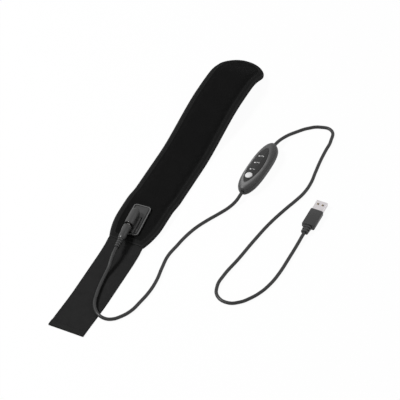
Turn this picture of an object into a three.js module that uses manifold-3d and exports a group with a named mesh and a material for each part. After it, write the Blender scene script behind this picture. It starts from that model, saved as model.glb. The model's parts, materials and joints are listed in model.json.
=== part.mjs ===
// A heated strip for a telescope's dew control: a padded band that narrows into a fastening strap,
// a jack moulding with its plug on the band, and a lead with a three-level controller and a USB plug.
// Millimetres, +Z up. The band and strap lie along X, rounded tip towards +X, and the origin is under
// the middle of the strip. The leads lie on the same table, on the strip's -Y side.
import * as THREE from "three";
import { mergeVertices } from "three/addons/utils/BufferGeometryUtils.js";
import Module from "manifold-3d";

// General clearances
const seatGap = 0.3; // between pieces that rest on each other
const slipGap = 0.2; // between a piece and the pocket that holds it

// Band and strap
const bandLength = 299; // padded part, from its sewn end to the rounded tip
const bandWidth = 51.2;
const bandTipRadius = 24;
const shoulderLength = 35; // where the band narrows to the strap
const strapLength = 131; // free length beyond the band
const strapWidth = 38;
const strapThickness = 1.4;
const strapTail = 20; // sewn in between the covers
const strapHem = 7; // folded end of the strap
const strapHemThickness = 0.9;
const backCoverThickness = 1.2;
const filmThickness = 0.6;
const filmInset = 8; // from the band's outline
const rimHeight = 4.0; // stitched border of the top cover
const crownHeight = 5.4; // wadded middle
const borderWidth = 6.5; // outline to the line of stitching
const stitchDepth = 0.5;
const foldRadius = 2.2; // rounded outer fold of the top cover
const seamLip = 1.2; // the sewn end is blunter than the folded sides by this much

// How the strip lies: on the table, but for a slope under the jack and an arch, and not quite straight
const jackSlope = { start: -6, end: 48, fallFrom: 54, landing: 76, height: 3 }; // from the sewn end
const archSwell = { rise: -171, crest: -73, crestEnd: -47, fall: -2, height: 12.8 }; // from the tip
const strapSway = { start: 55, end: -9, aside: 2 }; // from the strap's end, to +Y
const bandSway = { start: -12, end: 0, aside: 0.7 }; // from the sewn end
const tipSway = { start: -65, end: -15, aside: -1.1 }; // from the tip
const strapLift = { start: -28, end: -2 }; // from the sewn end: the strap climbs from the table to its seam

// Jack moulding on the band
const jackPlace = { fromSeam: 27.8, y: 2, turn: 4 }; // turn in degrees
const plateLength = 40;
const plateWidth = 18.5;
const plateCorner = 3.6;
const plateThickness = 1.2;
const plateFieldRise = 0.6; // inner field and outer lip stand above the groove
const plateLipWidth = 1.0;
const plateGrooveWidth = 1.1;
const tunnelOffset = 2.6; // sideways from the plate's middle line
const tunnelWall = 0.8;
const mouthInset = 7.0; // tunnel mouth to the plate's end
const tunnelLength = 22;
const plugTrough = 1.2; // clearance round the plug in the plate before the mouth
const sideGrooveRadius = 1.6; // hollow in the plate beside the tunnel
const sideGrooveDepth = 0.8;
const socketRadius = 3.9;
const socketLength = 15;
const socketInset = 1.2; // behind the mouth
const socketFlat = 0.4; // depth of the flat on its underside
const socketBore = 3.0;
const socketBoreDepth = 11;
const pinRadius = 1.0;
const tabWidth = 1.6;
const tabThickness = 0.4;
const tabSpacing = 4;
const wireHole = 4.2; // radius of the eyelet through plate and cover

// Barrel plug
const plugRadius = 4.4;
const plugLength = 18.5;
const plugShow = 2.3; // metal that shows between plug and mouth
const plugReliefLength = 11.3;
const plugReliefRibs = 4;
const barrelRadius = 2.75;
const barrelWall = 0.4;
const barrelReach = 9.5; // beyond the plug's face
const barrelSeat = 3;
const insulatorWall = 0.5;
const innerContactWall = 0.35;

// Cords
const cordDiameter = 3.5;
const cordSides = 8;
const cordStep = 10.5;
const cordSeat = 4; // how far a cord's end reaches into a plug
const cordInside = 11; // and into the controller
const cordClearance = 0.15; // under a cord that lies on the table

// Controller
const controllerPlace = { x: 65.5, y: -78.8, turn: -1.7, lean: 10 }; // in degrees, leaning to +Y
const controllerLength = 74;
const controllerWidth = 23;
const controllerHeight = 12.8;
const controllerFullness = 2.65; // exponent of the plan outline
const coverRoundness = 0.84; // 1 is an ellipse across, less is boxier
const baseRoundness = 0.6;
const coverNose = 0.44; // share of the cover's height at its ends
const baseNose = 0.56;
const controllerCordHeight = 4.4; // parting line and cord axis above the sole
const controllerWall = 1.5;
const controllerSole = 0.5; // depth by which the rounded underside is flattened
const partingGap = 0.25;
const labelLength = 54;
const labelWidth = 14;
const labelPoint = 1.2; // above 1 the label's oval has pointed ends
const labelShift = -2; // label's middle along the controller
const labelDepth = 0.4;
const labelCorners = 32;
const buttonRadius = 4.0;
const buttonAlong = -19.5;
const buttonTravel = 0.8;
const buttonProud = 1.3;
const buttonFlange = 0.9; // wider than the button, under the cover
const ledRadius = 1.1;
const ledAside = 2.6; // from the middle line
const ledPlaces = [-10, 0.5, 11.2];
const boardLength = 50;
const boardWidth = 15;
const boardThickness = 1.2;
const boardHeight = 4.6; // underside above the sole
const postRadius = 1.5;
const switchSize = 6;
const switchHeight = 1.6;
const stopperLength = 4; // collar on each cord, inside the controller
const stopperRadius = 2.6;

// USB plug
const usbPlace = { x: 36, y: -156.8 }; // front face of the grip
const usbShellWidth = 12;
const usbShellHeight = 4.5;
const usbShellWall = 0.3;
const usbShellCorner = 0.6;
const usbShow = 13.8; // shell beyond the grip
const usbSeat = 5; // shell inside the grip
const usbGripLength = 23;
const usbGripWidth = 14;
const usbGripHeight = 7;
const usbGripRound = 2;
const usbGripEdge = 0.5; // rounding round the two end faces
const usbReliefLength = 9.5;
const usbReliefBlocks = 3;
const usbReliefWidth = 8.4;
const usbReliefHeight = 5.8;
const usbReliefGap = 0.9;
const usbReliefTaper = 0.05; // each block is smaller by this share
const usbNeckWidth = 5.6; // between the blocks
const usbNeckHeight = 4.8;
const usbWindow = 2.4; // square holes in the shell
const usbWindowSpacing = 5.2;
const usbWindowInset = 5.1; // from the shell's open end
const tongueThickness = 1.9;
const tongueSetback = 1;
const contactWidth = 1.1;
const contactLength = 8;
const contactThickness = 0.25;
const contactPitch = 2.4;

const cordRadius = cordDiameter / 2;
const stripLength = bandLength + strapLength;
const strapEnd = -stripLength / 2;
const tipEnd = stripLength / 2;
const bandEnd = tipEnd - bandLength;
const jackX = bandEnd + jackPlace.fromSeam;
const seamTop = backCoverThickness + seatGap;
const strapTop = seamTop + strapThickness;
const filmTop = seamTop + filmThickness;

const wasm = await Module();
wasm.setup();

// Materials
const finish = (color, roughness, metalness = 0) =>
  new THREE.MeshStandardMaterial({ color, roughness, metalness });
const materials = {
  fleece: finish(0x151517, 0.95),
  backing: finish(0x1a1a1c, 0.9),
  webbing: finish(0x252527, 0.85),
  film: finish(0x8a6a3a, 0.6),
  softPlastic: finish(0x3c3c3f, 0.5),
  cordJacket: finish(0x2e2e31, 0.35),
  shell: finish(0x48484b, 0.45),
  label: finish(0x323235, 0.3),
  button: finish(0xdedee0, 0.4),
  lens: finish(0xc9cbd0, 0.25),
  board: finish(0x1f5a38, 0.6),
  blackPlastic: finish(0x18181a, 0.5),
  insulator: finish(0xe8e8e6, 0.5),
  steel: finish(0xd6d2d4, 0.3, 1),
  brass: finish(0xc9a25a, 0.3, 1),
};

// Closed solids
const degrees = THREE.MathUtils.degToRad;

function solidOf(geometry) {
  const bare = new THREE.BufferGeometry().setAttribute("position", geometry.getAttribute("position"));
  if (geometry.index) bare.setIndex(geometry.index);
  const merged = mergeVertices(bare, 1e-4);
  const mesh = new wasm.Mesh({
    numProp: 3,
    vertProperties: merged.attributes.position.array,
    triVerts: new Uint32Array(merged.index.array),
  });
  return new wasm.Manifold(mesh);
}

function geometryOf(solid) {
  const mesh = solid.getMesh();
  const geometry = new THREE.BufferGeometry();
  geometry.setAttribute("position", new THREE.BufferAttribute(new Float32Array(mesh.vertProperties), 3));
  geometry.setIndex(new THREE.BufferAttribute(new Uint32Array(mesh.triVerts), 1));
  return geometry;
}

const joined = (...parts) => geometryOf(parts.map(solidOf).reduce((a, b) => a.add(b)));
const shared = (a, b) => geometryOf(solidOf(a).intersect(solidOf(b)));
const cut = (body, ...tools) =>
  geometryOf(tools.map(solidOf).reduce((left, tool) => left.subtract(tool), solidOf(body)));

function box(x0, x1, y0, y1, z0, z1) {
  const shape = new THREE.BoxGeometry(x1 - x0, y1 - y0, z1 - z0);
  return shape.translate((x0 + x1) / 2, (y0 + y1) / 2, (z0 + z1) / 2);
}

// A turned piece about the X axis, from points (along, radius).
function turned(profile, sides = 20) {
  const points = profile.map(([along, radius]) => new THREE.Vector2(radius, along));
  if (THREE.ShapeUtils.area(points) < 0) points.reverse();
  const isHollow = profile[0][1] > 0;
  if (isHollow) points.push(points[0].clone());
  return new THREE.LatheGeometry(points, sides).rotateZ(-Math.PI / 2);
}

const rod = (x0, x1, radius, sides = 20) => turned([[x0, 0], [x0, radius], [x1, radius], [x1, 0]], sides);

function upright(x, y, z0, z1, radius, sides = 20) {
  const shape = new THREE.CylinderGeometry(radius, radius, z1 - z0, sides).rotateX(Math.PI / 2);
  return shape.translate(x, y, (z0 + z1) / 2);
}

function roundedRectangle(width, height, radius) {
  const shape = new THREE.Shape();
  const x = width / 2;
  const y = height / 2;
  shape.moveTo(x, y - radius);
  shape.absarc(x - radius, y - radius, radius, 0, Math.PI / 2);
  shape.absarc(radius - x, y - radius, radius, Math.PI / 2, Math.PI);
  shape.absarc(radius - x, radius - y, radius, Math.PI, Math.PI * 1.5);
  shape.absarc(x - radius, radius - y, radius, Math.PI * 1.5, Math.PI * 2);
  return shape;
}

// A flat outline made `height` thick, standing on z0.
const slab = (shape, z0, height, curveSegments = 5) =>
  new THREE.ExtrudeGeometry(shape, { depth: height, bevelEnabled: false, curveSegments }).translate(0, 0, z0);

// An outline in Y and Z carried along X, with rounded ends where `round` is given.
function bar(shape, x0, x1, round = 0, curveSegments = 4) {
  const settings = {
    depth: x1 - x0 - 2 * round,
    bevelEnabled: round > 0,
    bevelThickness: round,
    bevelSize: round,
    bevelOffset: -round,
    bevelSegments: 2,
    curveSegments,
  };
  const geometry = new THREE.ExtrudeGeometry(shape, settings);
  return geometry.rotateX(Math.PI / 2).rotateZ(Math.PI / 2).translate(x0 + round, 0, 0);
}

// Rings of as many points each, joined into one closed skin with a flat cap at each end.
function loft(rings) {
  const points = rings.flat();
  const around = rings[0].length;
  const index = [];
  for (let i = 0; i < rings.length - 1; i++) {
    for (let j = 0; j < around; j++) {
      const a = i * around + j;
      const b = i * around + ((j + 1) % around);
      index.push(a, b, b + around, a, b + around, a + around);
    }
  }
  const addCap = (ring, start, flip) => {
    const middle = ring.reduce((sum, p) => sum.add(p), new THREE.Vector3()).divideScalar(around);
    points.push(middle);
    for (let j = 0; j < around; j++) {
      const pair = [start + j, start + ((j + 1) % around)];
      index.push(...(flip ? pair.reverse() : pair), points.length - 1);
    }
  };
  addCap(rings[0], 0, true);
  addCap(rings[rings.length - 1], (rings.length - 1) * around, false);
  const geometry = new THREE.BufferGeometry().setFromPoints(points);
  return geometry.setIndex(index);
}

// The strip's lie
const smooth = (t) => 0.5 - 0.5 * Math.cos(Math.PI * THREE.MathUtils.clamp(t, 0, 1));

// A straight slope from 0 to 1 with a short rounding at each end.
function ramp(t) {
  const soft = 0.1;
  const area = (u) => (u < 1 ? Math.max(0, u) ** 2 / 2 : u - 0.5);
  return (area(t + soft) - area(t - soft)) / (2 * soft);
}

function tableGap(x) {
  const fromSeam = x - bandEnd;
  const fromTip = x - tipEnd;
  const up = ramp((fromSeam - jackSlope.start) / (jackSlope.end - jackSlope.start));
  const down = smooth((jackSlope.landing - fromSeam) / (jackSlope.landing - jackSlope.fallFrom));
  const rising = smooth((fromTip - archSwell.rise) / (archSwell.crest - archSwell.rise));
  const falling = smooth((archSwell.fall - fromTip) / (archSwell.fall - archSwell.crestEnd));
  return jackSlope.height * up * down + archSwell.height * rising * falling;
}

const swing = (along, sway) => sway.aside * smooth((along - sway.start) / (sway.end - sway.start));
const sideways = (x) =>
  swing(x - strapEnd, strapSway) + swing(x - bandEnd, bandSway) + swing(x - tipEnd, tipSway);

// A point of the strip, at `above` over its underside, square to the way it slopes there.
function laid(x, y, above) {
  const reach = 0.5;
  const slope = Math.atan2(tableGap(x + reach) - tableGap(x - reach), 2 * reach);
  const aside = y + sideways(x);
  return new THREE.Vector3(x - Math.sin(slope) * above, aside, tableGap(x) + Math.cos(slope) * above);
}

// A layer of the strip, through the stations given, from its lower to its upper surface.
function layer(stations, fractions, halfWidth, below, above) {
  const rings = stations.map((x) => {
    const across = fractions.map((f) => f * halfWidth(x));
    const lower = across.map((y) => laid(x, y, below(x, y)));
    const upper = across.map((y) => laid(x, y, above(x, y)));
    return [...lower, ...upper.reverse()];
  });
  return loft(rings);
}

// The three assemblies that lie on the strip and on the table
const heaterStrip = new THREE.Group();

// Turn, slope and lean are in degrees.
function groupAt(position, turn = 0, slope = 0, lean = 0) {
  const group = new THREE.Group();
  group.position.copy(position);
  group.rotation.set(degrees(-lean), degrees(-slope), degrees(turn), "YXZ");
  heaterStrip.add(group);
  group.updateMatrixWorld(true);
  return group;
}

const slopeUnderJack = Math.atan2(jackSlope.height, jackSlope.end - jackSlope.start);
const seat = laid(jackX, jackPlace.y, crownHeight + seatGap);
const jack = groupAt(seat, jackPlace.turn, THREE.MathUtils.radToDeg(slopeUnderJack));
const usb = groupAt(new THREE.Vector3(usbPlace.x, usbPlace.y, usbGripHeight / 2));

const evenly = (from, to, count) =>
  Array.from({ length: count + 1 }, (_, i) => from + ((to - from) * i) / count);

const mirrored = (side) => [...side.map((f) => -f), 0, ...[...side].reverse()];

// The band's outline: shoulders at the sewn end and a rounded tip
const bandHalf = bandWidth / 2;
const shoulderDrop = bandHalf - strapWidth / 2;
const shoulderRadius = (shoulderLength ** 2 + shoulderDrop ** 2) / (2 * shoulderDrop);

function bandHalfWidth(x) {
  const intoShoulder = Math.max(0, bandEnd + shoulderLength - x);
  const intoTip = Math.max(0, x - (tipEnd - bandTipRadius));
  const shoulder = shoulderRadius - Math.sqrt(shoulderRadius ** 2 - intoShoulder ** 2);
  const tip = bandTipRadius - Math.sqrt(Math.max(0, bandTipRadius ** 2 - intoTip ** 2));
  return bandHalf - shoulder - tip;
}

function distanceToEdge(x, y) {
  const straight = Math.min(bandHalfWidth(x) - Math.abs(y), x - bandEnd + seamLip, tipEnd - x);
  const cornerX = x - (tipEnd - bandTipRadius);
  const cornerY = Math.abs(y) - (bandHalf - bandTipRadius);
  if (cornerX <= 0 || cornerY <= 0) return Math.max(0, straight);
  return Math.max(0, bandTipRadius - Math.hypot(cornerX, cornerY));
}

// Height of the top cover: a rounded fold, a flat stitched border, then the wadded middle.
function coverHeight(x, y) {
  const inwards = distanceToEdge(x, y);
  const fold = foldRadius - Math.sqrt(foldRadius ** 2 - Math.max(0, foldRadius - inwards) ** 2);
  const border = rimHeight - fold;
  const nearStitch = Math.max(0, 1 - Math.abs(inwards - borderWidth) / 1.5);
  const padding = (crownHeight - rimHeight) * smooth((inwards - 1) / (borderWidth - 1));
  return border + padding - stitchDepth * nearStitch;
}

const tipStations = (inset) => {
  const reach = bandTipRadius - inset;
  return [15, 30, 45, 60, 72, 82, 90].map((a) => tipEnd - bandTipRadius + reach * Math.sin(degrees(a)));
};
const bodyStations = evenly(bandEnd + 14, tipEnd - bandTipRadius, 24);
const bandStations = [
  bandEnd,
  bandEnd + 1,
  bandEnd + 2.5,
  bandEnd + 5,
  bandEnd + borderWidth,
  bandEnd + borderWidth + 1.5,
  ...bodyStations,
  ...tipStations(0),
];
const coverFractions = mirrored([0, 0.8, 2.2, 5, 6.5, 8].map((d) => 1 - d / bandHalf));
const plainFractions = mirrored([0, 9].map((d) => 1 - d / bandHalf));

function backCover() {
  const top = () => backCoverThickness;
  return layer(bandStations, plainFractions, bandHalfWidth, () => 0, top);
}

// The heating film's shape, or with a clearance the pocket for it.
function filmLayer(clearance, below, above) {
  const inset = filmInset - clearance;
  const start = bandEnd + strapTail + filmInset / 2 - clearance;
  const stations = [start, ...bodyStations.filter((x) => x > start + 2), ...tipStations(inset)];
  const reach = bandTipRadius - inset;
  const halfWidth = (x) => {
    const intoTip = Math.max(0, x - (tipEnd - bandTipRadius));
    const tip = reach - Math.sqrt(Math.max(0, reach ** 2 - intoTip ** 2));
    return bandHalfWidth(Math.min(x, tipEnd - bandTipRadius)) - inset - tip;
  };
  return layer(stations, plainFractions, halfWidth, () => below, () => above);
}

const heaterFilm = () => filmLayer(0, seamTop, filmTop);

function topCover() {
  const cover = layer(bandStations, coverFractions, bandHalfWidth, () => seamTop, coverHeight);
  const pocket = filmLayer(seatGap, seamTop - 0.5, filmTop + seatGap);
  const slotHalf = strapWidth / 2 + slipGap;
  const slotStations = evenly(bandEnd - 3, bandEnd + strapTail + slipGap, 6);
  const slot = layer(slotStations, [-1, 0, 1], () => slotHalf, () => seamTop - 0.5, () => strapTop + slipGap);
  const eyelet = upright(0, tunnelOffset, -2 * crownHeight, crownHeight, wireHole);
  return cut(cover, pocket, slot, eyelet.applyMatrix4(jack.matrixWorld));
}

function strapBand() {
  const lift = (x) => seamTop * smooth((x - bandEnd - strapLift.start) / (strapLift.end - strapLift.start));
  const hemTop = (x) => (x < strapEnd + strapHem ? strapHemThickness : 0);
  const stations = [
    ...[0, 0.6, strapHem - 0.3, strapHem + 0.3].map((d) => strapEnd + d),
    ...evenly(strapEnd + 14, bandEnd - 30, 9),
    ...evenly(bandEnd - 25, bandEnd + strapTail, 9),
  ];
  const top = (x) => lift(x) + strapThickness + hemTop(x);
  return layer(stations, [-1, -0.96, 0, 0.96, 1], () => strapWidth / 2, lift, top);
}

// Jack moulding, in its own frame: X along the plate, underside at zero
const fieldTop = plateThickness + plateFieldRise;
const axisHeight = fieldTop + plugRadius + seatGap;
const mouth = -plateLength / 2 + mouthInset;
const tunnelRadius = socketRadius + slipGap + tunnelWall;
const socketFront = mouth + socketInset;
const socketBack = socketFront + socketLength;
const onAxis = (geometry) => geometry.translate(0, tunnelOffset, axisHeight);

function jackHousing() {
  const outline = (inset) =>
    roundedRectangle(plateLength - 2 * inset, plateWidth - 2 * inset, plateCorner - Math.min(inset, 2.6));
  const flange = slab(outline(0), 0, plateThickness);
  const lip = slab(outline(0), 0, fieldTop);
  const lipInside = slab(outline(plateLipWidth), -1, fieldTop + 2);
  const field = slab(outline(plateLipWidth + plateGrooveWidth), 0, fieldTop);
  const domeCentre = mouth + tunnelLength - tunnelRadius;
  const arch = new THREE.Shape();
  arch.moveTo(-tunnelRadius, 0);
  arch.lineTo(tunnelRadius, 0);
  arch.lineTo(tunnelRadius, axisHeight);
  arch.absarc(0, axisHeight, tunnelRadius, 0, Math.PI);
  const tunnel = bar(arch, mouth, domeCentre, 0, 10).translate(0, tunnelOffset, 0);
  const dome = new THREE.SphereGeometry(tunnelRadius, 20, 8).rotateX(Math.PI / 2);
  const apse = upright(domeCentre, tunnelOffset, 0.1, axisHeight, tunnelRadius, 20);
  const bore = onAxis(rod(mouth - 1, socketBack + slipGap, socketRadius + slipGap));
  const eyelet = upright(0, tunnelOffset, -1, axisHeight, wireHole - 1);
  const trough = onAxis(rod(-plateLength, mouth, plugRadius + plugTrough));
  const groove = rod(mouth - 5, domeCentre, sideGrooveRadius).translate(
    0,
    tunnelOffset - tunnelRadius - sideGrooveRadius - 0.1,
    fieldTop + sideGrooveRadius - sideGrooveDepth,
  );
  const plate = cut(joined(flange, cut(lip, lipInside), field), trough, groove);
  return cut(joined(plate, tunnel, onAxis(dome.translate(domeCentre, 0, 0)), apse), bore, eyelet);
}

function jackSocket() {
  const wallBack = socketFront + socketBoreDepth;
  const sole = -socketRadius + socketFlat;
  const flat = box(socketFront - 1, socketBack + 1, -socketRadius, socketRadius, sole - 2, sole);
  const profile = [
    [socketFront, socketBore],
    [wallBack, socketBore],
    [wallBack, pinRadius + slipGap],
    [socketBack, pinRadius + slipGap],
    [socketBack, socketRadius],
    [socketFront + 0.3, socketRadius],
    [socketFront, socketRadius - 0.3],
  ];
  return onAxis(cut(turned(profile), flat));
}

function jackPin() {
  const tip = socketFront + 1.5;
  const profile = [
    [socketBack, 0],
    [socketBack, pinRadius],
    [tip + pinRadius, pinRadius],
    [tip + 0.3, pinRadius * 0.6],
    [tip, 0],
  ];
  return onAxis(turned(profile, 12));
}

// A tab from the underside of the socket down to the heating film.
function jackTab(side) {
  const y = tunnelOffset + (side * tabSpacing) / 2;
  const foot = filmTop - crownHeight - seatGap / 2;
  const head = axisHeight - socketRadius + socketFlat - slipGap;
  return box(-tabWidth / 2, tabWidth / 2, y - tabThickness / 2, y + tabThickness / 2, foot, head);
}

// Barrel plug, in the jack's frame
const plugFace = mouth - plugShow;
const plugBack = plugFace - plugLength;
const plugEnd = plugBack - plugReliefLength;

function plugMoulding() {
  const outer = [
    [plugFace, 0],
    [plugFace, plugRadius - 0.6],
    [plugFace - 0.6, plugRadius],
    [plugFace - 4, plugRadius],
    [plugFace - 5, plugRadius - 0.35],
    [plugBack + 4, plugRadius - 0.35],
    [plugBack + 1.5, plugRadius - 0.8],
    [plugBack, plugRadius - 1.6],
  ];
  const ribPitch = plugReliefLength / plugReliefRibs;
  for (let i = 0; i < plugReliefRibs; i++) {
    const start = plugBack - i * ribPitch;
    const radius = plugRadius - 1.4 - 0.12 * i;
    outer.push([start - 0.01, radius - 0.6]);
    outer.push([start - ribPitch * 0.4, radius - 0.6]);
    outer.push([start - ribPitch * 0.42, radius]);
    outer.push([start - ribPitch * 0.99, radius]);
  }
  outer.push([plugEnd, 0]);
  const barrelHole = rod(plugFace - barrelSeat - slipGap, plugFace + 1, barrelRadius + slipGap);
  const cordHole = rod(plugEnd - 1, plugEnd + cordSeat + slipGap, cordRadius + slipGap);
  return onAxis(cut(turned(outer, 16), barrelHole, cordHole));
}

function tube(x0, x1, outer, inner, sides = 16) {
  return turned([[x0, inner], [x1, inner], [x1, outer], [x0, outer]], sides);
}

const barrelBack = plugFace - barrelSeat;
const barrelFront = plugFace + barrelReach;
const insulatorRadius = barrelRadius - barrelWall - 0.1;
const contactRadius = insulatorRadius - insulatorWall - 0.1;
const plugBarrel = () => onAxis(tube(barrelBack, barrelFront, barrelRadius, barrelRadius - barrelWall));
const plugInsulator = () =>
  onAxis(tube(barrelBack, barrelFront - 0.2, insulatorRadius, insulatorRadius - insulatorWall));
const plugInnerContact = () =>
  onAxis(tube(barrelBack, barrelFront - 0.6, contactRadius, contactRadius - innerContactWall));

// Controller, in its own frame: X along it, sole at zero
function controllerProfile(x, inset) {
  const reach = Math.abs(x) / (controllerLength / 2 + 0.5);
  const plan = (1 - reach ** controllerFullness) ** (1 / controllerFullness);
  const coverShare = coverNose + (1 - coverNose) * plan;
  const baseShare = baseNose + (1 - baseNose) * Math.sqrt(plan);
  return {
    width: (controllerWidth / 2) * plan - inset,
    rise: (controllerHeight - controllerCordHeight) * coverShare - inset,
    sink: (controllerCordHeight + controllerSole) * baseShare - inset,
  };
}

function controllerSection(x, inset) {
  const { width, rise, sink } = controllerProfile(x, inset);
  const corners = 20;
  return Array.from({ length: corners }, (_, i) => {
    const angle = (2 * Math.PI * (i + 0.5)) / corners;
    const lower = Math.sin(angle) < 0;
    const power = lower ? baseRoundness : coverRoundness;
    const side = Math.sign(Math.cos(angle)) * Math.abs(Math.cos(angle)) ** power;
    const up = Math.sign(Math.sin(angle)) * Math.abs(Math.sin(angle)) ** power;
    return new THREE.Vector3(x, width * side, controllerCordHeight + (lower ? sink : rise) * up);
  });
}

// Height of the cover's outside over the sole.
function coverTopAt(x, y = 0) {
  const { width, rise } = controllerProfile(x, 0);
  const across = 1 - (Math.abs(y) / width) ** (2 / coverRoundness);
  return controllerCordHeight + rise * across ** (coverRoundness / 2);
}

function controllerBody(inset) {
  const end = controllerLength / 2 - inset;
  const count = 16;
  const rings = Array.from({ length: count + 1 }, (_, i) => {
    const x = -end * Math.cos((Math.PI * i) / count);
    return controllerSection(x, inset);
  });
  return loft(rings);
}

// The label's outline, an oval drawn out to a soft point at both ends, as a tall block.
function labelBlock(clearance) {
  const length = labelLength + 2 * clearance;
  const width = labelWidth + 2 * clearance;
  const points = Array.from({ length: labelCorners }, (_, i) => {
    const angle = (i * 2 * Math.PI) / labelCorners;
    const across = Math.sign(Math.sin(angle)) * Math.abs(Math.sin(angle)) ** labelPoint;
    return new THREE.Vector2(labelShift + (length / 2) * Math.cos(angle), (width / 2) * across);
  });
  return slab(new THREE.Shape(points), controllerCordHeight + 1, controllerHeight);
}

const labelHoles = (clearance) => [
  upright(buttonAlong, 0, 0, 30, buttonRadius + clearance),
  ...ledPlaces.map((x) => upright(x, ledAside, 0, 30, ledRadius + clearance, 12)),
];

const big = 200;
const upperHalf = () => box(-big, big, -big, big, controllerCordHeight + partingGap / 2, big);
const lowerHalf = () => box(-big, big, -big, big, -big, controllerCordHeight - partingGap / 2);
const cordHoles = () => [
  rod(-big, big, cordRadius + seatGap, 16).translate(0, 0, controllerCordHeight),
];

function controllerCover() {
  const shell = cut(controllerBody(0), controllerBody(controllerWall));
  const skin = cut(controllerBody(-0.5), controllerBody(labelDepth + slipGap));
  const recess = shared(skin, labelBlock(seatGap));
  const top = shared(shell, upperHalf());
  return cut(top, recess, ...labelHoles(slipGap), ...cordHoles());
}

function controllerBase() {
  const shell = cut(controllerBody(0), controllerBody(controllerWall));
  const bottom = shared(shell, lowerHalf());
  const floor = controllerWall * 0.5;
  const posts = [-1, 1].flatMap((side) =>
    [-1, 1].map((end) =>
      upright(end * (boardLength / 2 - 5), side * 4, floor, boardHeight - slipGap, postRadius, 12),
    ),
  );
  const belowTable = box(-big, big, -big, big, -big, 0);
  return cut(joined(bottom, ...posts), belowTable, ...cordHoles());
}

function controllerLabel() {
  const film = cut(controllerBody(0), controllerBody(labelDepth));
  return cut(shared(film, labelBlock(0)), ...labelHoles(slipGap));
}

const boardTop = boardHeight + boardThickness;
const switchTop = boardTop + switchHeight;

function circuitBoard() {
  const shape = roundedRectangle(boardLength, boardWidth, 5);
  return slab(shape, boardHeight, boardThickness);
}

function tactSwitch() {
  const half = switchSize / 2;
  const z0 = boardTop + 0.1;
  const can = box(buttonAlong - half, buttonAlong + half, -half, half, z0, switchTop - 0.6);
  return joined(can, upright(buttonAlong, 0, z0, switchTop, 1.6, 16));
}

function powerButton() {
  const top = coverTopAt(buttonAlong) + buttonProud;
  const flangeTop = coverTopAt(buttonAlong) - controllerWall - 1.0;
  const stemEnd = switchTop + buttonTravel + 0.1;
  const profile = [
    [stemEnd, 0],
    [stemEnd, 1.5],
    [flangeTop - 0.8, 1.5],
    [flangeTop - 0.8, buttonRadius + buttonFlange],
    [flangeTop, buttonRadius + buttonFlange],
    [flangeTop, buttonRadius],
    [top - 1.3, buttonRadius],
    [top - 0.7, buttonRadius * 0.9],
    [top - 0.2, buttonRadius * 0.6],
    [top, 0],
  ];
  const points = profile.map(([z, radius]) => new THREE.Vector2(radius, z));
  const shape = new THREE.LatheGeometry(points, 20).rotateX(Math.PI / 2);
  return shape.translate(buttonAlong, 0, 0);
}

function levelLed(x) {
  const top = coverTopAt(x, ledAside) - 0.1;
  const stalk = upright(x, ledAside, boardTop + 0.1, top - 0.5, ledRadius, 12);
  const lensDome = new THREE.SphereGeometry(ledRadius, 12, 6).rotateX(Math.PI / 2).scale(1, 1, 0.45);
  return joined(stalk, lensDome.translate(x, ledAside, top - 0.5));
}

const noseX = controllerLength / 2;

function cordStopper(end) {
  const near = noseX - controllerWall - 1.5;
  const collar = tube(near - stopperLength, near - slipGap, stopperRadius, cordRadius + slipGap, 16);
  return collar.translate(0, 0, controllerCordHeight).rotateZ(end > 0 ? 0 : Math.PI);
}

// The controller leans on the edge of its sole.
function standingHeight(geometry, lean) {
  const leaning = geometry.clone().rotateX(-degrees(lean));
  leaning.computeBoundingBox();
  return -leaning.boundingBox.min.z;
}

const base = controllerBase();
const controllerRest = standingHeight(base, controllerPlace.lean);
const controllerSeat = new THREE.Vector3(controllerPlace.x, controllerPlace.y, controllerRest);
const controller = groupAt(controllerSeat, controllerPlace.turn, 0, controllerPlace.lean);

// USB plug, in its own frame: X out of the grip's front face, axis at half the grip's height
const usbBack = -usbGripLength - usbReliefLength;

function usbGrip() {
  const outline = roundedRectangle(usbGripWidth, usbGripHeight, usbGripRound);
  const grip = bar(outline, -usbGripLength, 0, usbGripEdge, 3);
  const blockLength = usbReliefLength / usbReliefBlocks;
  const blocks = Array.from({ length: usbReliefBlocks }, (_, i) => {
    const back = -usbGripLength - (i + 1) * blockLength;
    const shrink = 1 - usbReliefTaper * i;
    const section = roundedRectangle(usbReliefWidth * shrink, usbReliefHeight * shrink, 2);
    return bar(section, back, back + blockLength - usbReliefGap, 0.4, 2);
  });
  const neck = bar(roundedRectangle(usbNeckWidth, usbNeckHeight, 2.2), usbBack + 1, -usbGripLength + 1, 0, 2);
  const pocket = bar(
    roundedRectangle(usbShellWidth + 2 * slipGap, usbShellHeight + 2 * slipGap, usbShellCorner + slipGap),
    -usbSeat - slipGap,
    2,
  );
  const cordHole = rod(usbBack - 1, usbBack + cordSeat + slipGap, cordRadius + slipGap);
  return cut(joined(grip, neck, ...blocks), pocket, cordHole);
}

function usbShell() {
  const shape = roundedRectangle(usbShellWidth, usbShellHeight, usbShellCorner);
  const inner = roundedRectangle(
    usbShellWidth - 2 * usbShellWall,
    usbShellHeight - 2 * usbShellWall,
    usbShellCorner - usbShellWall,
  );
  shape.holes.push(new THREE.Path(inner.getPoints(3).reverse()));
  const half = usbWindow / 2;
  const middle = usbShow - usbWindowInset;
  const windows = [-1, 1].map((side) => {
    const y = (side * usbWindowSpacing) / 2;
    return box(middle - half, middle + half, y - half, y + half, -usbShellHeight, usbShellHeight);
  });
  return cut(bar(shape, -usbSeat, usbShow, 0, 3), ...windows);
}

const tongueBase = -usbShellHeight / 2 + usbShellWall + slipGap;
const tongueTop = tongueBase + tongueThickness;
const tongueHalf = usbShellWidth / 2 - usbShellWall - slipGap;
const contactY = (i) => (i - 1.5) * contactPitch;

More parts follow.
